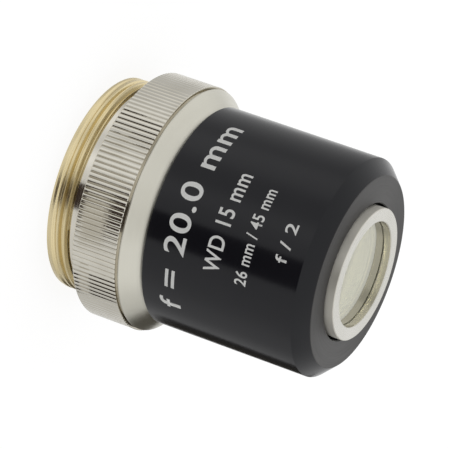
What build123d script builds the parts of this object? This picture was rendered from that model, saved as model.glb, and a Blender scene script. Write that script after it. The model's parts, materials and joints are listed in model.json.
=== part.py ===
from build123d import *
import os
from math import cos, radians, sin, sqrt

# Microscope objective, all sizes in millimetres.
# The optical axis is Z. The rear rim of the mounting thread lies on Z = 0,
# and the front lens looks towards +Z.

# Mounting thread, 26 mm across and kept plain at its crest.
# The other radii step outwards or inwards from it.
thread_radius = 13.0
thread_length = 2.65
thread_lead_chamfer = 0.2
thread_wall = 1.4
mount_ring_wall = 2.7
mount_bore_chamfer = 0.4
mount_spigot_length = 1.7

# Collar: neck behind the seating shoulder, knurled grip and tapered band
neck_step = 0.55
neck_length = 2.05
neck_relief_width = 0.22
neck_relief_depth = 0.35
shoulder_width = 2.55
knurl_length = 5.65
knurl_edge_chamfer = 0.1
knurl_teeth = 144
knurl_groove_depth = 0.125
knurl_groove_share = 0.38
collar_relief_width = 0.2
collar_relief_depth = 0.3
taper_step = 0.15
taper_length = 2.2
taper_edge_bevel = 0.2
taper_foot_step = 0.45
collar_spigot_wall = 1.65
collar_spigot_length = 3.5

# Outer sleeve
sleeve_step = 0.3
sleeve_rear_edge = 0.12
sleeve_gap_at_taper = 0.15
sleeve_seat_wall = 1.35
sleeve_seat_relief = 0.3
sleeve_wall = 1.9
sleeve_front_wall = 1.8
sleeve_front_chamfer = 1.65
sleeve_hole_gap = 0.3
sleeve_hole_edge = 0.12

# Inner tube that carries the lens stack
tube_wall = 1.6
tube_front_wall = 2.15
tube_web_thickness = 0.57
tube_flange_thickness = 0.8
tube_end_gap = 0.05
shim_thickness = 0.2
lock_ring_thickness = 1.2
lock_ring_wall = 2.2
lock_ring_gap = 0.2

# Nose: front lens cell that stands out of the sleeve
nose_reach = 0.95
nose_edge = 0.08
nose_seat_width = 0.3
nose_lip_width = 0.6
nose_window_depth = 1.0
nose_window_edge = 0.1
nose_ring_recess = 0.86

# Lens seats and rings
fit_gap = 0.05
seat_width = 0.8
rim_margin = 0.05
lip_thickness = 0.8
ring_thickness = 0.9
ring_recess = 0.1
spacer_wall = 0.95
slot_width = 1.2
slot_depth = 0.5
stack_ring_recess = 1.62
stack_ring_thickness = 1.5
stack_ring_wall = 2.0
stop_thickness = 0.3
stop_width = 0.8

# Spacer lengths, which set the air gaps between the lenses
spacer_second_third_length = 0.46
spacer_third_fourth_length = 0.86
spacer_fourth_rear_length = 0.46

# Three grub screws that centre the third lens cell
screw_count = 3
screw_radius = 1.0
screw_play = 0.2
screw_socket_radius = 0.45
screw_socket_depth = 0.7

# Lens shapes: wall of the cell round the lens, thickness on the axis, front and rear
# surface radii. A radius is positive where the surface bulges out of the glass.
front_lens = {"cell_wall": 0.95, "thickness": 3.0, "front": 0.0, "rear": 42.0}
second_lens = {"cell_wall": 1.1, "thickness": 3.4, "front": 80.0, "rear": 41.0}
third_lens = {"cell_wall": 0.9, "thickness": 3.8, "front": 42.0, "rear": 42.0}
fourth_lens = {"cell_wall": 1.1, "thickness": 3.6, "front": 19.75, "rear": -60.0}
rear_lens = {"cell_wall": 1.7, "thickness": 2.0, "front": -48.0, "rear": -48.0}

# Radii of the mount and the collar
mount_bore_radius = thread_radius - mount_ring_wall
mount_spigot_radius = thread_radius - thread_wall
neck_radius = thread_radius - neck_step
knurl_radius = neck_radius + shoulder_width
taper_radius = knurl_radius - taper_step

# Radii of the sleeve and of what it holds, from the outside in
sleeve_radius = thread_radius + sleeve_step
sleeve_bore_radius = sleeve_radius - sleeve_wall
sleeve_seat_radius = sleeve_radius - sleeve_seat_wall
taper_foot_radius = sleeve_radius - taper_foot_step
collar_spigot_radius = sleeve_seat_radius - fit_gap
collar_bore_radius = collar_spigot_radius - collar_spigot_wall
tube_radius = collar_bore_radius - fit_gap
tube_bore_radius = tube_radius - tube_wall
cell_radius = tube_bore_radius - fit_gap
centred_cell_radius = cell_radius - screw_play
nose_seat_radius = tube_radius - tube_front_wall
nose_radius = nose_seat_radius - fit_gap
web_radius = nose_radius - nose_seat_width

# Heights of the collar and of the sleeve's rear end
shoulder_height = thread_length + neck_length
knurl_front = shoulder_height + knurl_length
taper_rear = knurl_front + collar_relief_width
taper_front = taper_rear + taper_length
sleeve_rear = taper_front + sleeve_gap_at_taper
sleeve_seat_front = sleeve_rear + collar_spigot_length

# Flange of the tube, its shim and the ring that locks it in the collar
spigot_front = thread_length + mount_spigot_length
flange_rear = spigot_front + lock_ring_gap + lock_ring_thickness
flange_front = flange_rear + tube_flange_thickness
seat_level = flange_front + shim_thickness


def turned(points):
    """Solid of revolution about Z from a closed outline of (radius, height) points."""
    outline = Polyline(*[(radius, 0, height) for radius, height in points], close=True)
    return revolve(make_face(outline), Axis.Z)


def ring(inner, outer, low, high):
    return turned([(inner, low), (outer, low), (outer, high), (inner, high)])


def sagitta(surface_radius, clear_radius):
    """Depth of a lens surface at its clear radius, positive where it bulges out."""
    if surface_radius == 0:
        return 0.0
    depth = abs(surface_radius) - sqrt(surface_radius**2 - clear_radius**2)
    return depth if surface_radius > 0 else -depth


def seat_lens(lens, cell_outer, cell_rear, recess):
    """Radii and heights of a lens in its cell, from the rear face of the cell forwards."""
    edge = cell_outer - lens["cell_wall"] - fit_gap
    clear = edge - seat_width
    rear_rim = cell_rear + recess + ring_thickness
    rear_vertex = rear_rim - sagitta(lens["rear"], clear)
    front_vertex = rear_vertex + lens["thickness"]
    front_rim = front_vertex - sagitta(lens["front"], clear)
    return {
        "edge": edge,
        "clear": clear,
        "cell_outer": cell_outer,
        "cell_rear": cell_rear,
        "rear_rim": rear_rim,
        "rear_vertex": rear_vertex,
        "front_vertex": front_vertex,
        "front_rim": front_rim,
        "cell_front": front_rim + lip_thickness,
    }


def lens_surface(lens, face, seat):
    """Half of a lens surface, from the axis to the clear radius."""
    vertex = (0, 0, seat[face + "_vertex"])
    rim = (seat["clear"], 0, seat[face + "_rim"])
    surface_radius = lens[face]
    if surface_radius == 0:
        return Line(vertex, rim)
    half_angle = 0.5 * Vector(rim).sub(Vector(vertex)).length / abs(surface_radius)
    outward = 1 if face == "front" else -1
    centre_height = vertex[2] - outward * surface_radius
    towards = outward if surface_radius > 0 else -outward
    middle = (
        abs(surface_radius) * sin(half_angle),
        0,
        centre_height + towards * abs(surface_radius) * cos(half_angle),
    )
    return ThreePointArc(vertex, middle, rim)


def lens_solid(lens, seat):
    front = lens_surface(lens, "front", seat)
    rear = lens_surface(lens, "rear", seat)
    edge = Polyline(
        (seat["clear"], 0, seat["front_rim"]),
        (seat["edge"], 0, seat["front_rim"]),
        (seat["edge"], 0, seat["rear_rim"]),
        (seat["clear"], 0, seat["rear_rim"]),
    )
    axis = Line((0, 0, seat["rear_vertex"]), (0, 0, seat["front_vertex"]))
    return revolve(make_face(Wire([axis, front, *edge.edges(), rear])), Axis.Z)


def lens_cell(seat):
    """Cell with a front lip for the lens and a bore for the ring behind it."""
    bore = seat["edge"] + fit_gap
    lip = seat["clear"] + rim_margin
    return turned([
        (bore, seat["cell_rear"]),
        (seat["cell_outer"], seat["cell_rear"]),
        (seat["cell_outer"], seat["cell_front"]),
        (lip, seat["cell_front"]),
        (lip, seat["front_rim"]),
        (bore, seat["front_rim"]),
    ])


def spanner_slots(inner, outer, low):
    """Pair of slots across a ring, open to the rear."""
    middle = (inner + outer) / 2
    slot = Box(outer - inner + 2 * fit_gap, slot_width, 2 * slot_depth)
    return [Pos(side * middle, 0, low) * slot for side in (-1, 1)]


def slotted_ring(inner, outer, low, high):
    """Threaded ring with a pair of spanner slots in its rear face."""
    return ring(inner, outer, low, high) - spanner_slots(inner, outer, low)


def lens_ring(seat):
    """Ring behind a lens, on the flat rim of its rear surface."""
    inner = seat["clear"] + rim_margin
    return slotted_ring(inner, seat["edge"], seat["rear_rim"] - ring_thickness, seat["rear_rim"])


def knurl_profile():
    """Outline of the straight knurl, one V groove after each land."""
    pitch = 360 / knurl_teeth
    groove = pitch * knurl_groove_share
    root = knurl_radius - knurl_groove_depth
    corners = []
    for tooth in range(knurl_teeth):
        start = tooth * pitch
        for angle, radius in (
            (start, knurl_radius),
            (start + pitch - groove, knurl_radius),
            (start + pitch - groove / 2, root),
        ):
            turn = radians(angle)
            corners.append((radius * cos(turn), radius * sin(turn)))
    return make_face(Polyline(*corners, close=True))


def knurl_band():
    """Knurled grip, bevelled at its rear edge where it meets the seating shoulder."""
    band = Pos(0, 0, shoulder_height) * extrude(knurl_profile(), amount=knurl_length)
    envelope = turned([
        (0, shoulder_height),
        (knurl_radius - knurl_edge_chamfer, shoulder_height),
        (knurl_radius + fit_gap, shoulder_height + knurl_edge_chamfer + fit_gap),
        (knurl_radius + fit_gap, knurl_front),
        (0, knurl_front),
    ])
    return band & envelope


def knurled_collar():
    """Plated collar: neck, shoulder, knurl, relief, tapered band and front spigot."""
    socket_radius = mount_spigot_radius + fit_gap
    neck_relief_radius = neck_radius - neck_relief_depth
    neck_relief_front = thread_length + neck_relief_width
    core = turned([
        (0, thread_length),
        (neck_relief_radius, thread_length),
        (neck_relief_radius, neck_relief_front),
        (neck_radius, neck_relief_front),
        (neck_radius, shoulder_height),
        (knurl_radius - 2 * knurl_groove_depth, shoulder_height),
        (knurl_radius - 2 * knurl_groove_depth, knurl_front),
        (taper_radius - collar_relief_depth, knurl_front),
        (taper_radius - collar_relief_depth, taper_rear),
        (taper_radius - taper_edge_bevel, taper_rear),
        (taper_radius, taper_rear + taper_edge_bevel),
        (taper_foot_radius, taper_front),
        (taper_foot_radius, sleeve_rear),
        (collar_spigot_radius, sleeve_rear),
        (collar_spigot_radius, sleeve_seat_front),
        (0, sleeve_seat_front),
    ])
    through = Pos(0, 0, sleeve_seat_front / 2) * Cylinder(collar_bore_radius, sleeve_seat_front)
    socket_length = seat_level - thread_length
    socket = Pos(0, 0, thread_length + socket_length / 2) * Cylinder(socket_radius, socket_length)
    return core + knurl_band() - through - socket


def mount_thread_ring():
    """Brass ring with the mounting thread and a spigot inside the collar's neck."""
    return turned([
        (mount_bore_radius + mount_bore_chamfer, 0),
        (thread_radius - thread_lead_chamfer, 0),
        (thread_radius, thread_lead_chamfer),
        (thread_radius, thread_length),
        (mount_spigot_radius, thread_length),
        (mount_spigot_radius, spigot_front),
        (mount_bore_radius, spigot_front),
        (mount_bore_radius, mount_bore_chamfer),
    ])


def outer_sleeve():
    """Black sleeve on the collar's spigot, closed in front by a wall with a round hole."""
    hole = nose_radius + sleeve_hole_gap
    seat_end = sleeve_seat_front + sleeve_seat_relief
    wall_rear = sleeve_front - sleeve_front_wall
    return turned([
        (sleeve_seat_radius, sleeve_rear),
        (sleeve_radius - sleeve_rear_edge, sleeve_rear),
        (sleeve_radius, sleeve_rear + sleeve_rear_edge),
        (sleeve_radius, sleeve_front - sleeve_front_chamfer),
        (sleeve_radius - sleeve_front_chamfer, sleeve_front),
        (hole + sleeve_hole_edge, sleeve_front),
        (hole, sleeve_front - sleeve_hole_edge),
        (hole, wall_rear),
        (sleeve_bore_radius, wall_rear),
        (sleeve_bore_radius, seat_end),
        (sleeve_seat_radius, seat_end),
    ])


def front_lens_cell():
    """Nose ring with a lip in front of the lens."""
    bore = front_seat["edge"] + fit_gap
    window = front_seat["edge"] - nose_lip_width
    return turned([
        (bore, web_front),
        (nose_radius, web_front),
        (nose_radius, nose_front - nose_edge),
        (nose_radius - nose_edge, nose_front),
        (window + nose_edge, nose_front),
        (window, nose_front - nose_edge),
        (window, front_glass + nose_window_edge),
        (window + nose_window_edge, front_glass),
        (bore, front_glass),
    ])


def screw_places():
    """Placement of each grub screw, its X axis pointing out of the tube."""
    height = (third_seat["cell_front"] + third_seat["cell_rear"]) / 2
    step = 360 / screw_count
    return [Pos(0, 0, height) * Rot(0, 0, step * (index + 0.5)) for index in range(screw_count)]


def radial_cylinder(radius, start, end):
    """Cylinder along +X from one distance to another."""
    return Pos((start + end) / 2, 0, 0) * Rot(0, 90, 0) * Cylinder(radius, end - start)


def centering_screws():
    outer = tube_radius - fit_gap
    body = radial_cylinder(screw_radius, centred_cell_radius, outer)
    socket = radial_cylinder(screw_socket_radius, outer - screw_socket_depth, outer + fit_gap)
    screw = body - socket
    return Compound(children=[place * screw for place in screw_places()])


def lens_tube():
    """Tube with a rear flange, the bore for the stack and a web behind the nose."""
    body = turned([
        (tube_bore_radius, flange_rear),
        (mount_spigot_radius, flange_rear),
        (mount_spigot_radius, flange_front),
        (tube_radius, flange_front),
        (tube_radius, tube_front),
        (nose_seat_radius, tube_front),
        (nose_seat_radius, web_front),
        (web_radius, web_front),
        (web_radius, second_seat["cell_front"]),
        (tube_bore_radius, second_seat["cell_front"]),
    ])
    hole = radial_cylinder(screw_radius + fit_gap, tube_bore_radius / 2, tube_radius + fit_gap)
    return body - [place * hole for place in screw_places()]


def spacer(seat_in_front, seat_behind):
    """Ring that keeps two cells apart."""
    inner = cell_radius - spacer_wall
    return ring(inner, cell_radius, seat_behind["cell_front"], seat_in_front["cell_rear"])


# Lens stack in the tube, from its retaining ring forwards
stack_ring_rear = flange_rear + stack_ring_recess
stop_rear = stack_ring_rear + stack_ring_thickness
rear_seat = seat_lens(rear_lens, cell_radius, stop_rear + stop_thickness, ring_recess)
fourth_cell_rear = rear_seat["cell_front"] + spacer_fourth_rear_length
fourth_seat = seat_lens(fourth_lens, cell_radius, fourth_cell_rear, ring_recess)
third_cell_rear = fourth_seat["cell_front"] + spacer_third_fourth_length
third_seat = seat_lens(third_lens, centred_cell_radius, third_cell_rear, ring_recess)
second_cell_rear = third_seat["cell_front"] + spacer_second_third_length
second_seat = seat_lens(second_lens, cell_radius, second_cell_rear, ring_recess)

# Nose on the tube's web, and the front ends of the sleeve and the tube
web_front = second_seat["cell_front"] + tube_web_thickness
front_seat = seat_lens(front_lens, nose_radius, web_front, nose_ring_recess)
front_glass = front_seat["front_vertex"]
nose_front = front_glass + nose_window_depth
sleeve_front = nose_front - nose_reach
tube_front = sleeve_front - sleeve_front_wall - tube_end_gap

parts = {
    "mount_thread_ring": mount_thread_ring(),
    "knurled_collar": knurled_collar(),
    "outer_sleeve": outer_sleeve(),
    "front_lens_cell": front_lens_cell(),
    "front_lens": lens_solid(front_lens, front_seat),
    "front_lens_retainer": lens_ring(front_seat),
    "lens_tube": lens_tube(),
    "second_lens_cell": lens_cell(second_seat),
    "second_lens": lens_solid(second_lens, second_seat),
    "second_lens_retainer": lens_ring(second_seat),
    "spacer_second_third": spacer(second_seat, third_seat),
    "third_lens_cell": lens_cell(third_seat),
    "third_lens": lens_solid(third_lens, third_seat),
    "third_lens_retainer": lens_ring(third_seat),
    "centering_screws": centering_screws(),
    "spacer_third_fourth": spacer(third_seat, fourth_seat),
    "fourth_lens_cell": lens_cell(fourth_seat),
    "fourth_lens": lens_solid(fourth_lens, fourth_seat),
    "fourth_lens_retainer": lens_ring(fourth_seat),
    "spacer_fourth_rear": spacer(fourth_seat, rear_seat),
    "rear_lens_cell": lens_cell(rear_seat),
    "rear_lens": lens_solid(rear_lens, rear_seat),
    "rear_lens_retainer": lens_ring(rear_seat),
    "aperture_stop": ring(
        rear_seat["clear"] - stop_width, cell_radius, stop_rear, rear_seat["cell_rear"]
    ),
    "stack_retaining_ring": slotted_ring(
        cell_radius - stack_ring_wall, cell_radius, stack_ring_rear, stop_rear
    ),
    "parfocal_shim": ring(collar_bore_radius, mount_spigot_radius, flange_front, seat_level),
    "parfocal_lock_ring": slotted_ring(
        mount_spigot_radius - lock_ring_wall,
        mount_spigot_radius,
        flange_rear - lock_ring_thickness,
        flange_rear,
    ),
}

os.makedirs("parts", exist_ok=True)
for name, shape in parts.items():
    shape.label = name
    export_step(shape, f"parts/{name}.step")
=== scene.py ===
import json
import math
from math import cos, pi, radians, sin

import bmesh
import bpy
from mathutils import Matrix, Vector

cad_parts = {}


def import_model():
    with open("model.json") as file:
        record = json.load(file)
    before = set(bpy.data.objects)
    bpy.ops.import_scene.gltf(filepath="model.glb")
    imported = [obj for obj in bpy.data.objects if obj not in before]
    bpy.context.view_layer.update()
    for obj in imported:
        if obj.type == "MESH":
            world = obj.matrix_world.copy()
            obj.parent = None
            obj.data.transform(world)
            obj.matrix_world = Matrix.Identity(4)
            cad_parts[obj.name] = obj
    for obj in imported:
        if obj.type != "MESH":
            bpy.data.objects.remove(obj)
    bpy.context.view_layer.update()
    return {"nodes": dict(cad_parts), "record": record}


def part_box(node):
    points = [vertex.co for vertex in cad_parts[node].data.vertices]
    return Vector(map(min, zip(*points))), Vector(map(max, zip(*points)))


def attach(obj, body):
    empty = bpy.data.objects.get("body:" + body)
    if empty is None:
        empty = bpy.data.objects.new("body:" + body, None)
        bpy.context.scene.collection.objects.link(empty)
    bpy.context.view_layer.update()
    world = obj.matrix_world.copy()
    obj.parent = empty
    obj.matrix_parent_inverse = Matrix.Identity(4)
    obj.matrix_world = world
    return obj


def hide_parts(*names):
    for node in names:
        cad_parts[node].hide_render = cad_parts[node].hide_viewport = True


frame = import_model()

mm = 0.001
deg = radians(1)

# Heights and outer radii, from the frame
thread_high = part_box("mount_thread_ring")[1]
collar_low, collar_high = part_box("knurled_collar")
sleeve_low, sleeve_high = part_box("outer_sleeve")
nose_low, nose_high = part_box("front_lens_cell")
glass_low, glass_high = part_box("front_lens")

thread_radius = thread_high.x
knurl_radius = collar_high.x
sleeve_radius = sleeve_high.x
nose_radius = nose_high.x
thread_end = collar_low.z

# Mounting thread: crest and root are shares of the pitch, the start is a crest's height at -Y,
# and the groove runs in from the rim to its full depth
thread_pitch = 0.87 * mm
thread_depth = 0.42 * mm
thread_chamfer = 0.2 * mm
thread_bore = 10.3 * mm
thread_bore_chamfer = 0.4 * mm
thread_spigot = 11.6 * mm
thread_crest_share = 0.3
thread_root_share = 0.14
thread_start = 0.46 * mm
first_groove_share = 0.3
full_depth_height = 1.7 * mm
thread_columns = 360
thread_steps = 14
thread_spare_turns = 2
thread_merge_distance = 0.002 * mm
thread_sharp_angle = 40

# Collar: neck and shoulder
neck_radius = 12.45 * mm
neck_relief_radius = 12.1 * mm
neck_relief_width = 0.22 * mm
shoulder_height = 4.7 * mm

# Knurl: widths are shares of the pitch of the teeth, depths are shares of the groove's depth
knurl_front = 10.35 * mm
knurl_teeth = 144
groove_depth = 0.125 * mm
groove_share = 0.38
land_rounding = 0.04
land_edge_depth = 0.06
groove_floor_depth = 0.94
groove_floor_half = 0.03
knurl_bevel = 0.1 * mm
knurl_front_edge = 0.06 * mm
knurl_face_margin = 0.1 * mm

# Relief line and tapered band; taper_rear_corner_in and _back place the middle point of the
# band's rounded rear corner, inwards from taper_radius and back from the bevel's end
relief_radius = 14.55 * mm
taper_rear = 10.55 * mm
taper_bevel = 0.2 * mm
taper_radius = 14.85 * mm
taper_foot = 12.85 * mm
taper_front = 12.75 * mm
taper_round = 0.05 * mm
taper_rear_corner_in = 0.06 * mm
taper_rear_corner_back = 0.08 * mm
taper_foot_rise = 0.02 * mm

# Collar: spigot and bores
spigot_radius = 11.9 * mm
collar_bore = 10.25 * mm
socket_radius = 11.65 * mm
socket_front = 6.75 * mm

# Sleeve; the soft corners' middle points are shares of sleeve_soft
sleeve_edge = 0.12 * mm
sleeve_chamfer = 1.65 * mm
sleeve_bore = 11.4 * mm
sleeve_seat = 11.95 * mm
sleeve_seat_front = 16.7 * mm
sleeve_wall = 1.8 * mm
sleeve_soft = 0.05 * mm
rear_corner_share = 0.3
front_corner_in_share = 0.7
front_corner_back_share = 0.9
sleeve_columns = 360
hole_radius = 8.3 * mm
hole_edge = 0.12 * mm

# Nose ring and front lens
nose_edge = 0.08 * mm
nose_columns = 300
window_radius = 6.4 * mm
window_edge = 0.1 * mm
nose_bore = 7.05 * mm
lens_edge = 7.0 * mm
lens_edge_bevel = 0.1 * mm
lens_clear = 6.2 * mm
lens_rear_radius = 42.0 * mm
lens_steps = 16
lens_columns = 180
lens_sharp_angle = 20

# Turned surfaces: points closer than merge_distance are joined, edges sharper than sharp_angle
# in degrees stay hard, and face_tolerance is the slack in picking faces. The thread has its
# own distance and angle, and the lens its own angle.
merge_distance = 0.0005 * mm
sharp_angle = 24
face_tolerance = 0.01 * mm

# Painted marks: words, baseline and letter height in mm, first and last place round the
# sleeve in degrees from -Y towards +X
mark_lines = (
    ("f = 20.0 mm", 17.95, 2.75, 55.0, -55.0),
    ("WD 15 mm", 22.6, 2.05, 24.5, -28.0),
    ("26 mm / 45 mm", 26.15, 1.5, 26.0, -24.6),
    ("f / 2", 30.35, 1.5, 8.4, -11.8),
)

# A capital's share of the font's size, the room between letters, how much bolder the strokes
# are as a share of the letters' height, the width of a slice that bends, and the paint
letter_height_share = 0.73
letter_spacing = 1.08
stroke_growth = 0.018
mark_slice = 0.35 * mm
paint_thickness = 0.006 * mm

# Camera, from the circles of the object in the 449 pixel wide photograph
photo_width = 449
focal_pixels = 3727.4
front_face_place = Vector((15.349, 5.468, 427.68)) * mm
axis_direction = Vector((0.87283, 0.30736, -0.37908)).normalized()
sensor_width = 36.0
clip_range = (0.01, 30)

# Floor, with how much of its white is its own glow and how much is lit
floor_reach = 6.0
floor_glow = 0.84
floor_lit = 0.2

# Light that falls on rough surfaces
daylight = 0.95

# Upright dark cards: azimuth from -Y towards +X, distance from the axis, left and right edge,
# lowest and highest point, colour
dark_cards = (
    (23, 75 * mm, -21 * mm, 15 * mm, -90 * mm, 45 * mm, (0.045, 0.032, 0.026)),
    (150, 40 * mm, -23 * mm, -3 * mm, -2 * mm, 32 * mm, (0.05, 0.045, 0.035)),
)

# Patch of pale table before the first card
patch_azimuths = (11, 42)
patch_reach = (26 * mm, 33 * mm)
patch_height = 0.2 * mm
patch_steps = 8
patch_colour = (0.6, 0.58, 0.54)

# Flags that dim the studio in reflections: azimuth from and to, soft edge, lowest and highest
# elevation, all in degrees, and darkness
flags = (
    (-152, -88, 12, -90, 5, 0.38),
    (-58, -28, 10, -90, 30, 0.27),
    (-10, 58, 10, -90, 15, 0.2),
    (58, 140, 12, -90, 5, 0.2),
    (105, 170, 12, -50, 40, 0.25),
)


# Mesh helpers

def new_object(name, mesh, materials):
    """Object of a finished mesh, with its materials, that rides with the part."""
    piece = bpy.data.objects.new(name, mesh)
    bpy.context.scene.collection.objects.link(piece)
    for material in materials:
        mesh.materials.append(material)
    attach(piece, "root")
    return piece


def smooth(mesh, angle):
    """Smooth shading, with edges sharper than the angle in degrees kept."""
    mesh.shade_smooth()
    mesh.set_sharp_from_angle(angle=radians(angle))


def clean(mesh, distance):
    """Joins the points that fall together and turns every face outwards."""
    work = bmesh.new()
    work.from_mesh(mesh)
    bmesh.ops.remove_doubles(work, verts=work.verts, dist=distance)
    bmesh.ops.dissolve_degenerate(work, edges=work.edges, dist=distance / 2)
    bmesh.ops.recalc_face_normals(work, faces=work.faces)
    work.to_mesh(mesh)
    work.free()


def around_axis(radius, angle, height):
    """Point at an angle from -Y towards +X."""
    return (radius * sin(angle), -radius * cos(angle), height)


def revolved(name, rows, columns):
    """Closed surface of revolution. A row is (radius, height), or (list of radii, height)."""
    vertices = []
    faces = []
    starts = []
    count = len(columns)
    for radius, height in rows:
        starts.append(len(vertices))
        if radius == 0:
            vertices.append((0, 0, height))
            continue
        for index, angle in enumerate(columns):
            reach = radius[index] if isinstance(radius, list) else radius
            vertices.append(around_axis(reach, angle, height))
    for row in range(len(rows) - 1):
        low, high = starts[row], starts[row + 1]
        for index in range(count):
            after = (index + 1) % count
            if rows[row][0] == 0:
                faces.append((low, high + index, high + after))
            elif rows[row + 1][0] == 0:
                faces.append((low + index, high, low + after))
            else:
                faces.append((low + index, high + index, high + after, low + after))
    if rows[0][0] != 0 and rows[-1][0] != 0:
        low, high = starts[-1], starts[0]
        for index in range(count):
            after = (index + 1) % count
            faces.append((low + index, high + index, high + after, low + after))
    mesh = bpy.data.meshes.new(name)
    mesh.from_pydata(vertices, [], faces)
    clean(mesh, merge_distance)
    return mesh


def circle_columns(count):
    return [2 * pi * index / count for index in range(count)]


def distance_from_axis(face):
    return math.hypot(face.center.x, face.center.y)


# Material helpers

def new_material(name):
    """Material with its node tree and its shader."""
    material = bpy.data.materials.new(name)
    material.use_nodes = True
    tree = material.node_tree
    return material, tree, tree.nodes["Principled BSDF"]


def bare_material(name):
    """Material for the stage, with its node tree and its empty output."""
    material = bpy.data.materials.new(name)
    material.use_nodes = True
    tree = material.node_tree
    tree.nodes.clear()
    return material, tree, tree.nodes.new("ShaderNodeOutputMaterial")


def calculate(tree, operation, first, second=0.0):
    """Maths on two values, each a number or a socket."""
    node = tree.nodes.new("ShaderNodeMath")
    node.operation = operation
    for socket, value in zip(node.inputs, (first, second)):
        if isinstance(value, (int, float)):
            socket.default_value = value
        else:
            tree.links.new(value, socket)
    return node.outputs[0]


def object_place(tree):
    return tree.nodes.new("ShaderNodeTexCoord").outputs["Object"]


def radius_and_height(tree, around=0.0):
    """Vector of distance from the axis, height and a little of the place round the axis."""
    split = tree.nodes.new("ShaderNodeSeparateXYZ")
    tree.links.new(object_place(tree), split.inputs[0])
    flat = tree.nodes.new("ShaderNodeCombineXYZ")
    tree.links.new(split.outputs["X"], flat.inputs["X"])
    tree.links.new(split.outputs["Y"], flat.inputs["Y"])
    length = tree.nodes.new("ShaderNodeVectorMath")
    length.operation = "LENGTH"
    tree.links.new(flat.outputs[0], length.inputs[0])
    turn = calculate(tree, "ARCTAN2", split.outputs["Y"], split.outputs["X"])
    vector = tree.nodes.new("ShaderNodeCombineXYZ")
    tree.links.new(length.outputs["Value"], vector.inputs["X"])
    tree.links.new(split.outputs["Z"], vector.inputs["Y"])
    tree.links.new(calculate(tree, "MULTIPLY", turn, around), vector.inputs["Z"])
    return vector.outputs[0]


def noise(tree, vector, scale, detail=2.0, roughness=0.5):
    texture = tree.nodes.new("ShaderNodeTexNoise")
    texture.inputs["Scale"].default_value = scale
    texture.inputs["Detail"].default_value = detail
    texture.inputs["Roughness"].default_value = roughness
    tree.links.new(vector, texture.inputs["Vector"])
    return texture.outputs["Fac"]


def spread(tree, value, low, high, start=0.3, end=0.7):
    """Maps a value from start to end, by default a noise's middle, to low to high."""
    mapping = tree.nodes.new("ShaderNodeMapRange")
    mapping.inputs["From Min"].default_value = start
    mapping.inputs["From Max"].default_value = end
    mapping.inputs["To Min"].default_value = low
    mapping.inputs["To Max"].default_value = high
    tree.links.new(value, mapping.inputs["Value"])
    return mapping.outputs["Result"]


def between(tree, factor, first, second):
    """Colour between two, each a colour or a socket."""
    mix = tree.nodes.new("ShaderNodeMix")
    mix.data_type = "RGBA"
    for name, colour in (("A", first), ("B", second)):
        if isinstance(colour, tuple):
            mix.inputs[name].default_value = (*colour, 1)
        else:
            tree.links.new(colour, mix.inputs[name])
    tree.links.new(factor, mix.inputs["Factor"])
    return mix.outputs["Result"]


def bumped(tree, shader, height, distance):
    bump = tree.nodes.new("ShaderNodeBump")
    bump.inputs["Distance"].default_value = distance
    tree.links.new(height, bump.inputs["Height"])
    tree.links.new(bump.outputs["Normal"], shader.inputs["Normal"])


def turned_finish(name, light, dark, metallic, roughness, marks, depth, specular=0.5, turned=0.0):
    """Finish with fine turning marks, as rings round the axis on every wall and face.

    Roughness is its lowest and highest, marks is how fine the rings are, depth is their
    height, and turned is how far a highlight is drawn out along the rings.
    """
    mark_wander = 0.0002
    broad_scale = 140.0
    along_rings = 0.25
    material, tree, shader = new_material(name)
    if turned:
        shader.inputs["Anisotropic"].default_value = turned
        shader.inputs["Anisotropic Rotation"].default_value = along_rings
        tangent = tree.nodes.new("ShaderNodeTangent")
        tangent.direction_type = "RADIAL"
        tangent.axis = "Z"
        tree.links.new(tangent.outputs[0], shader.inputs["Tangent"])
    rings = radius_and_height(tree, around=mark_wander)
    fine = noise(tree, rings, marks, detail=3.0, roughness=0.7)
    broad = noise(tree, object_place(tree), broad_scale, detail=3.0)
    colour = between(tree, spread(tree, broad, 0, 1), light, dark)
    tree.links.new(colour, shader.inputs["Base Color"])
    tree.links.new(spread(tree, fine, *roughness), shader.inputs["Roughness"])
    shader.inputs["Metallic"].default_value = metallic
    shader.inputs["Specular IOR Level"].default_value = specular
    bumped(tree, shader, fine, depth)
    return material


def knurl_finish(name, light, dark, groove_dirt_and_shade_colour):
    """Bright nickel lands over grooves painted darker with depth, partly as dirt and partly as painted
    shade, with small nicks.
    """
    broad_scale = 260.0
    nick_scale = 2600.0
    nick_depth = 0.003 * mm
    dirt_and_shade_cover = (0.6, 1.0)
    nick_roughness = (0.05, 0.15)
    material, tree, shader = new_material(name)
    shader.inputs["Metallic"].default_value = 1.0
    split = tree.nodes.new("ShaderNodeSeparateXYZ")
    tree.links.new(radius_and_height(tree), split.inputs[0])
    root = knurl_radius - groove_depth
    # Deeper in the grooves the colour turns towards the groove colour: partly dirt, partly painted shade
    # in the recesses
    sunk = spread(tree, split.outputs["X"], 1, 0, root, knurl_radius)
    broad = noise(tree, object_place(tree), broad_scale, detail=3.0)
    nicks = noise(tree, object_place(tree), nick_scale, detail=2.0, roughness=0.6)
    dirt_and_shade = calculate(tree, "MULTIPLY", sunk, spread(tree, broad, *dirt_and_shade_cover))
    land = between(tree, spread(tree, broad, 0, 1), light, dark)
    tree.links.new(between(tree, dirt_and_shade, land, groove_dirt_and_shade_colour), shader.inputs["Base Color"])
    tree.links.new(spread(tree, nicks, *nick_roughness), shader.inputs["Roughness"])
    bumped(tree, shader, nicks, nick_depth)
    return material


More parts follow.
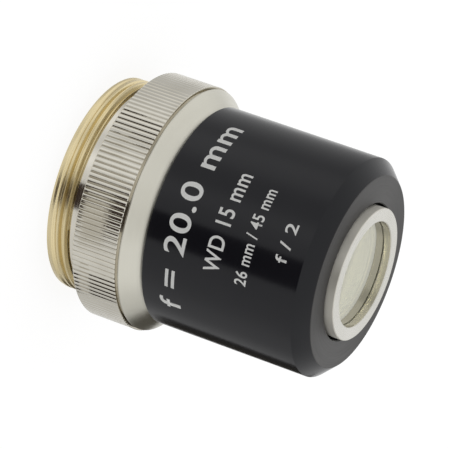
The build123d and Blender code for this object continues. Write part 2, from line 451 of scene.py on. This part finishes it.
def glass_finish(name, tint, ior, mirror=0.0):
    """Polished glass; mirror is the share that its coating reflects at any angle."""
    haze_scale = 900.0
    haze_share = 0.97
    haze_roughness = (0.0, 0.02)
    haze_tint = tuple(haze_share * channel for channel in tint)
    material, tree, shader = new_material(name)
    shader.inputs["Metallic"].default_value = mirror
    haze = noise(tree, object_place(tree), haze_scale, detail=4.0)
    colour = between(tree, spread(tree, haze, 0, 1), tint, haze_tint)
    tree.links.new(colour, shader.inputs["Base Color"])
    tree.links.new(spread(tree, haze, *haze_roughness), shader.inputs["Roughness"])
    shader.inputs["Transmission Weight"].default_value = 1.0
    shader.inputs["IOR"].default_value = ior
    return material


# Finishes

brass = turned_finish(
    "brass", light=(0.78, 0.665, 0.41), dark=(0.72, 0.605, 0.35), metallic=1.0,
    roughness=(0.22, 0.34), marks=9000.0, depth=0.004 * mm,
)
nickel_bright = turned_finish(
    "nickel_bright", light=(0.74, 0.71, 0.63), dark=(0.66, 0.63, 0.55), metallic=1.0,
    roughness=(0.08, 0.2), marks=9000.0, depth=0.002 * mm,
)
nickel_satin = turned_finish(
    "nickel_satin", light=(0.64, 0.625, 0.55), dark=(0.60, 0.585, 0.51), metallic=1.0,
    roughness=(0.28, 0.4), marks=9000.0, depth=0.004 * mm, turned=0.7,
)
nickel_knurl = knurl_finish(
    "nickel_knurl", light=(0.70, 0.675, 0.60), dark=(0.63, 0.605, 0.53), groove_dirt_and_shade_colour=(0.42, 0.385, 0.31)
)
anodised = turned_finish(
    "black_anodised", light=(0.006, 0.0062, 0.009), dark=(0.008, 0.0082, 0.011), metallic=0.0,
    roughness=(0.16, 0.24), marks=7000.0, depth=0.002 * mm, specular=0.32, turned=0.6,
)
# Painted shade: the bevel is the wall's black anodising again, with a darker colour and a lower specular
# level
anodised_bevel_painted_shade = turned_finish(
    "black_anodised_bevel_painted_shade", light=(0.004, 0.0045, 0.0065), dark=(0.005, 0.0055, 0.0075), metallic=0.0,
    roughness=(0.16, 0.24), marks=7000.0, depth=0.002 * mm, specular=0.25, turned=0.6,
)
anodised_matt = turned_finish(
    "black_anodised_matt", light=(0.020, 0.019, 0.018), dark=(0.026, 0.024, 0.023), metallic=0.0,
    roughness=(0.4, 0.5), marks=7000.0, depth=0.006 * mm, specular=0.4, turned=0.5,
)
nose_side = turned_finish(
    "nose_side", light=(0.72, 0.70, 0.64), dark=(0.64, 0.62, 0.55), metallic=1.0,
    roughness=(0.42, 0.52), marks=11000.0, depth=0.004 * mm, turned=0.9,
)
nose_face = turned_finish(
    "nose_face", light=(0.64, 0.63, 0.585), dark=(0.60, 0.59, 0.54), metallic=1.0,
    roughness=(0.2, 0.34), marks=11000.0, depth=0.004 * mm, turned=0.5,
)
inner_black = turned_finish(
    "inner_black", light=(0.018, 0.018, 0.019), dark=(0.03, 0.03, 0.03), metallic=0.0,
    roughness=(0.5, 0.65), marks=5000.0, depth=0.006 * mm,
)
cell_brass = turned_finish(
    "cell_brass", light=(0.13, 0.10, 0.06), dark=(0.06, 0.05, 0.035), metallic=0.7,
    roughness=(0.35, 0.5), marks=6000.0, depth=0.005 * mm,
)
steel = turned_finish(
    "bright_steel", light=(0.6, 0.6, 0.6), dark=(0.5, 0.5, 0.5), metallic=1.0,
    roughness=(0.25, 0.4), marks=6000.0, depth=0.004 * mm,
)
white_paint = turned_finish(
    "white_paint", light=(0.82, 0.82, 0.80), dark=(0.74, 0.74, 0.72), metallic=0.0,
    roughness=(0.4, 0.55), marks=4000.0, depth=0.004 * mm,
)
coated_glass = glass_finish("coated_glass", tint=(0.90, 0.89, 0.72), ior=1.52, mirror=0.4)
inner_glass = glass_finish("inner_glass", tint=(0.95, 0.97, 0.95), ior=1.45)


# Pieces

def ridge(phase):
    """Height of the thread over its root at a phase of 0 to 1 of the pitch, with soft corners."""
    flank = (1 - thread_crest_share - thread_root_share) / 2
    from_root = abs((phase % 1.0) - 0.5) - thread_root_share / 2
    lift = min(max(from_root / flank, 0), 1)
    return (lift + lift * lift * (3 - 2 * lift)) / 2


def groove_reach(height):
    """Share of its full depth that the thread groove has at a height."""
    share = min(max(height / full_depth_height, 0), 1)
    return first_groove_share + (1 - first_groove_share) * share * share


def mount_thread():
    """Brass ring with its right-handed thread cut as a helix.

    Each column's profile starts a little higher than the last one's, so after a whole turn
    it is one pitch up, where it falls on the first column's points.
    """
    inner = [
        (thread_bore, thread_high.z),
        (thread_bore, thread_bore_chamfer),
        (thread_bore + thread_bore_chamfer, 0),
    ]
    tail = [(thread_spigot, thread_end), (thread_spigot, thread_high.z)]
    first_step = -thread_spare_turns * thread_steps
    last_step = (int(thread_end / thread_pitch) + thread_spare_turns) * thread_steps
    vertices, faces = [], []
    for index in range(thread_columns + 1):
        angle = 2 * pi * index / thread_columns
        shift = thread_start + thread_pitch * angle / (2 * pi)
        line = []
        for step in range(first_step, last_step):
            height = min(max(shift + thread_pitch * step / thread_steps, 0), thread_end)
            lift = ridge((height - shift) / thread_pitch)
            reach = thread_radius - thread_depth * groove_reach(height) * (1 - lift)
            lead = thread_radius - thread_chamfer + height
            line.append((min(reach, lead), height))
        for radius, height in inner + line + tail:
            vertices.append(around_axis(radius, angle, height))
    full = len(inner) + len(line) + len(tail)
    for index in range(thread_columns):
        low, high = index * full, (index + 1) * full
        for row in range(full):
            after = (row + 1) % full
            faces.append((low + row, high + row, high + after, low + after))
    mesh = bpy.data.meshes.new("mount_thread")
    mesh.from_pydata(vertices, [], faces)
    clean(mesh, thread_merge_distance)
    smooth(mesh, thread_sharp_angle)
    piece = new_object("threaded_ring", mesh, [brass])
    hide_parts("mount_thread_ring")


def knurl_columns():
    """Angles and depths across the knurl: land, its edges and the groove's flanks and floor."""
    pitch = 2 * pi / knurl_teeth
    land = 1 - groove_share
    groove_middle = land + groove_share / 2
    tooth_points = (
        (land_rounding, 0.0),
        (land - land_rounding, 0.0),
        (land, land_edge_depth),
        (groove_middle - groove_floor_half, groove_floor_depth),
        (groove_middle + groove_floor_half, groove_floor_depth),
        (1.0, land_edge_depth),
    )
    angles, depths = [], []
    for tooth in range(knurl_teeth):
        for share, depth in tooth_points:
            angles.append((tooth + share) * pitch)
            depths.append(depth * groove_depth)
    return angles, depths


def collar():
    """Nickel collar: neck, shoulder, straight knurl, relief line, taper and spigot."""
    angles, depths = knurl_columns()
    band = [knurl_radius - depth for depth in depths]
    rear = [min(radius, knurl_radius - knurl_bevel) for radius in band]
    front = [min(radius, knurl_radius - knurl_front_edge) for radius in band]
    relief_front = thread_end + neck_relief_width
    corner_height = taper_rear + taper_bevel
    rows = [
        (collar_bore, socket_front),
        (socket_radius, socket_front),
        (socket_radius, thread_end),
        (neck_relief_radius, thread_end),
        (neck_relief_radius, relief_front),
        (neck_radius, relief_front),
        (neck_radius, shoulder_height),
        (rear, shoulder_height),
        (band, shoulder_height + knurl_bevel),
        (band, knurl_front - knurl_front_edge),
        (front, knurl_front),
        (relief_radius, knurl_front),
        (relief_radius, taper_rear),
        (taper_radius - taper_bevel, taper_rear),
        (taper_radius - taper_rear_corner_in, corner_height - taper_rear_corner_back),
        (taper_radius - taper_round, corner_height + taper_round),
        (taper_foot + taper_round, taper_front - taper_round),
        (taper_foot, taper_front + taper_foot_rise),
        (taper_foot, sleeve_low.z),
        (spigot_radius, sleeve_low.z),
        (spigot_radius, collar_high.z),
        (collar_bore, collar_high.z),
    ]
    mesh = revolved("collar", rows, angles)
    smooth(mesh, sharp_angle)
    piece = new_object("collar", mesh, [nickel_bright, nickel_satin, nickel_knurl])
    for face in mesh.polygons:
        reach = distance_from_axis(face)
        if face.center.z > taper_rear and reach > taper_foot - face_tolerance:
            face.material_index = 1
        elif reach > relief_radius + knurl_face_margin:
            face.material_index = 2
    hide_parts("knurled_collar")


def sleeve():
    """Black sleeve with its front bevel, flat front wall and hole for the nose."""
    rear, front = sleeve_low.z, sleeve_high.z
    rear_corner = rear_corner_share * sleeve_soft
    bevel_end = sleeve_radius - sleeve_chamfer
    rows = [
        (sleeve_seat, rear),
        (sleeve_radius - sleeve_edge, rear),
        (sleeve_radius, rear + sleeve_edge),
        (sleeve_radius, front - sleeve_chamfer - sleeve_soft),
        (sleeve_radius - rear_corner, front - sleeve_chamfer + rear_corner),
        (bevel_end + front_corner_in_share * sleeve_soft, front - front_corner_back_share * sleeve_soft),
        (bevel_end - sleeve_soft, front),
        (hole_radius + hole_edge, front),
        (hole_radius, front - hole_edge),
        (hole_radius, front - sleeve_wall),
        (sleeve_bore, front - sleeve_wall),
        (sleeve_bore, sleeve_seat_front),
        (sleeve_seat, sleeve_seat_front),
    ]
    mesh = revolved("sleeve", rows, circle_columns(sleeve_columns))
    smooth(mesh, sharp_angle)
    piece = new_object("sleeve", mesh, [anodised, anodised_bevel_painted_shade, anodised_matt])
    for face in mesh.polygons:
        if face.center.z > front - sleeve_soft / 2:
            face.material_index = 2
        # The bevel's faces take the darker, painted-shade copy of the anodising
        elif face.center.z > front - sleeve_chamfer:
            face.material_index = 1
    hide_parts("outer_sleeve")


def nose():
    """Nickel nose ring with the window that the front lens shows through."""
    rear, front = nose_low.z, nose_high.z
    glass = glass_high.z
    rows = [
        (nose_bore, rear),
        (nose_radius, rear),
        (nose_radius, front - nose_edge),
        (nose_radius - nose_edge, front),
        (window_radius + nose_edge, front),
        (window_radius, front - nose_edge),
        (window_radius, glass + window_edge),
        (window_radius + window_edge, glass),
        (nose_bore, glass),
    ]
    mesh = revolved("nose", rows, circle_columns(nose_columns))
    smooth(mesh, sharp_angle)
    piece = new_object("nose_ring", mesh, [nose_side, nose_face, nickel_bright])
    for face in mesh.polygons:
        if distance_from_axis(face) < window_radius + face_tolerance:
            face.material_index = 2
        elif face.center.z > front - face_tolerance:
            face.material_index = 1
    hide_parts("front_lens_cell")


def front_lens():
    """Front lens, flat in front and bulged behind, with a plain rim."""
    front, low = glass_high.z, glass_low.z

    def bulge(radius):
        return lens_rear_radius - math.sqrt(lens_rear_radius**2 - radius**2)

    rim = low + bulge(lens_clear)
    rows = [
        (0, front),
        (lens_clear, front),
        (lens_edge - lens_edge_bevel, front),
        (lens_edge, front - lens_edge_bevel),
        (lens_edge, rim),
        (lens_clear, rim),
    ]
    for step in range(lens_steps - 1, 0, -1):
        radius = lens_clear * step / lens_steps
        rows.append((radius, low + bulge(radius)))
    rows.append((0, low))
    mesh = revolved("front_glass", rows, circle_columns(lens_columns))
    smooth(mesh, lens_sharp_angle)
    piece = new_object("front_glass", mesh, [coated_glass])
    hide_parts("front_lens")


def dress_frame():
    """Finishes for the CAD pieces that stay as they are."""
    finishes = {
        "inner_black": inner_black,
        "cell_brass": cell_brass,
        "bright_steel": steel,
        "inner_glass": inner_glass,
    }
    slots = {row["node"]: row["material_slot"] for row in frame["record"]["subparts"]}
    for node, piece in frame["nodes"].items():
        finish = finishes.get(slots[node])
        if finish:
            piece.data.materials.clear()
            piece.data.materials.append(finish)


def flat_words(name, words, height):
    """Mesh of one line of letters, flat, in a bmesh of its own."""
    curve = bpy.data.curves.new(name, "FONT")
    curve.body = words
    curve.size = height / letter_height_share * mm
    curve.space_character = letter_spacing
    curve.offset = stroke_growth * height * mm
    holder = bpy.data.objects.new(name, curve)
    bpy.context.scene.collection.objects.link(holder)
    bpy.context.view_layer.update()
    shown = holder.evaluated_get(bpy.context.evaluated_depsgraph_get())
    flat = bpy.data.meshes.new_from_object(shown)
    bpy.data.objects.remove(holder)
    work = bmesh.new()
    work.from_mesh(flat)
    return work


def marks():
    """White generic marks round the sleeve, drawn as thin paint on its wall."""
    for number, (words, baseline, height, start, stop) in enumerate(mark_lines):
        work = flat_words(f"words_{number}", words, height)
        left = min(vertex.co.x for vertex in work.verts)
        right = max(vertex.co.x for vertex in work.verts)
        width = (start - stop) * deg * sleeve_radius
        stretch = width / (right - left)
        for vertex in work.verts:
            vertex.co.x = (vertex.co.x - left) * stretch
        slices = int(width / mark_slice) + 1
        for cut in range(1, slices):
            bmesh.ops.bisect_plane(
                work,
                geom=work.verts[:] + work.edges[:] + work.faces[:],
                plane_co=(width * cut / slices, 0, 0),
                plane_no=(1, 0, 0),
            )
        for vertex in work.verts:
            angle = start * deg - vertex.co.x / sleeve_radius
            height_here = baseline * mm - vertex.co.y
            vertex.co = around_axis(sleeve_radius + paint_thickness, angle, height_here)
        bmesh.ops.recalc_face_normals(work, faces=work.faces)
        mesh = bpy.data.meshes.new(f"marks_{number}")
        work.to_mesh(mesh)
        work.free()
        new_object(f"marks_{number + 1}", mesh, [white_paint])


# Stage, lights and camera

def stage_object(name, corners, material):
    """One flat face that isn't part of the object."""
    mesh = bpy.data.meshes.new(name)
    mesh.from_pydata(corners, [], [tuple(range(len(corners)))])
    mesh.materials.append(material)
    piece = bpy.data.objects.new(name, mesh)
    bpy.context.scene.collection.objects.link(piece)
    return piece


def floor():
    """White floor that keeps shadows: part of its brightness is its own, seen directly."""
    material, tree, output = bare_material("floor_white")
    diffuse = tree.nodes.new("ShaderNodeBsdfDiffuse")
    diffuse.inputs["Color"].default_value = (floor_lit, floor_lit, floor_lit, 1)
    glow = tree.nodes.new("ShaderNodeEmission")
    path = tree.nodes.new("ShaderNodeLightPath").outputs
    seen = calculate(tree, "MAXIMUM", path["Is Camera Ray"], path["Is Glossy Ray"])
    seen = calculate(tree, "MAXIMUM", seen, path["Is Transmission Ray"])
    tree.links.new(calculate(tree, "MULTIPLY", seen, floor_glow), glow.inputs["Strength"])
    both = tree.nodes.new("ShaderNodeAddShader")
    tree.links.new(diffuse.outputs[0], both.inputs[0])
    tree.links.new(glow.outputs[0], both.inputs[1])
    tree.links.new(both.outputs[0], output.inputs["Surface"])
    reach = floor_reach
    corners = [(-reach, -reach, 0), (reach, -reach, 0), (reach, reach, 0), (-reach, reach, 0)]
    piece = stage_object("floor", corners, material)
    piece.visible_glossy = False


def card(name, corners, colour):
    """Flat card that only the metal and the glass show."""
    material, tree, output = bare_material(name)
    glow = tree.nodes.new("ShaderNodeEmission")
    glow.inputs["Color"].default_value = (*colour, 1)
    tree.links.new(glow.outputs[0], output.inputs["Surface"])
    piece = stage_object(name, corners, material)
    piece.visible_camera = False
    piece.visible_diffuse = False
    piece.visible_shadow = False


def cards():
    """Dark cards beside the part, and the pale table patch before one of them."""
    for number, (azimuth, distance, left, right, lowest, highest, colour) in enumerate(dark_cards):
        turn = azimuth * deg
        centre = Vector((sin(turn), -cos(turn), 0)) * distance
        aside = Vector((cos(turn), sin(turn), 0))
        low, high = Vector((0, 0, lowest)), Vector((0, 0, highest))
        near, far = centre + aside * left, centre + aside * right
        card(f"dark_card_{number}", [near + low, far + low, far + high, near + high], colour)
    first, last = patch_azimuths
    inner_reach, outer_reach = patch_reach
    angles = [(first + (last - first) * step / patch_steps) * deg for step in range(patch_steps + 1)]
    ring = [Vector(around_axis(inner_reach, angle, patch_height)) for angle in angles]
    ring += [Vector(around_axis(outer_reach, angle, patch_height)) for angle in reversed(angles)]
    card("table_patch", ring, patch_colour)


def ramp(tree, value, start, end):
    """Soft step from 0 at start to 1 at end."""
    step = tree.nodes.new("ShaderNodeMapRange")
    step.interpolation_type = "SMOOTHSTEP"
    step.inputs["From Min"].default_value = start
    step.inputs["From Max"].default_value = end
    tree.links.new(value, step.inputs["Value"])
    return step.outputs["Result"]


def mixed(tree, factor, first, second):
    """Value between two, each a number or a socket."""
    mix = tree.nodes.new("ShaderNodeMix")
    tree.links.new(factor, mix.inputs["Factor"])
    for name, value in (("A", first), ("B", second)):
        if isinstance(value, (int, float)):
            mix.inputs[name].default_value = value
        else:
            tree.links.new(value, mix.inputs[name])
    return mix.outputs["Result"]


def world():
    """White studio. What metal shows of it is dimmer where a flag hangs."""
    studio = bpy.data.worlds.new("studio")
    bpy.context.scene.world = studio
    studio.use_nodes = True
    tree = studio.node_tree
    background = tree.nodes["Background"]
    background.inputs["Color"].default_value = (1, 1, 1, 1)
    split = tree.nodes.new("ShaderNodeSeparateXYZ")
    tree.links.new(tree.nodes.new("ShaderNodeTexCoord").outputs["Generated"], split.inputs[0])
    back = calculate(tree, "MULTIPLY", split.outputs["Y"], -1.0)
    around = calculate(tree, "MULTIPLY", calculate(tree, "ARCTAN2", split.outputs["X"], back), 1 / deg)
    rise = calculate(tree, "MULTIPLY", calculate(tree, "ARCSINE", split.outputs["Z"]), 1 / deg)
    level = 1.0
    for first, last, edge, bottom, top, darkness in flags:
        mask = ramp(tree, around, first - edge, first + edge)
        mask = calculate(tree, "MULTIPLY", mask, ramp(tree, around, last + edge, last - edge))
        mask = calculate(tree, "MULTIPLY", mask, ramp(tree, rise, bottom - edge, bottom + edge))
        mask = calculate(tree, "MULTIPLY", mask, ramp(tree, rise, top + edge, top - edge))
        left = calculate(tree, "SUBTRACT", 1.0, calculate(tree, "MULTIPLY", mask, darkness))
        level = calculate(tree, "MULTIPLY", level, left)
    path = tree.nodes.new("ShaderNodeLightPath").outputs
    lit = mixed(tree, path["Is Glossy Ray"], daylight, level)
    shown = mixed(tree, path["Is Camera Ray"], lit, 1.0)
    tree.links.new(shown, background.inputs["Strength"])


def camera():
    """Camera of the photograph, placed from the object's axis and front face in its frame."""
    toward = Vector((0, 0, -1))
    depth = -(toward - axis_direction * toward.dot(axis_direction)).normalized()
    across = depth.cross(axis_direction)
    origin = front_face_place - axis_direction * sleeve_high.z
    flip = Matrix(((1, 0, 0), (0, -1, 0), (0, 0, -1)))
    axes = Matrix((across, depth, axis_direction)).transposed()
    back = (flip @ axes).transposed()
    data = bpy.data.cameras.new("camera")
    data.sensor_width = sensor_width
    data.lens = focal_pixels * sensor_width / photo_width
    data.clip_start, data.clip_end = clip_range
    item = bpy.data.objects.new("camera", data)
    bpy.context.scene.collection.objects.link(item)
    item.matrix_world = Matrix.Translation(-(back @ (flip @ origin))) @ back.to_4x4()
    bpy.context.scene.camera = item


bpy.context.scene.view_settings.view_transform = "Standard"
camera()
world()
floor()
cards()
mount_thread()
collar()
sleeve()
nose()
front_lens()
dress_frame()
marks()
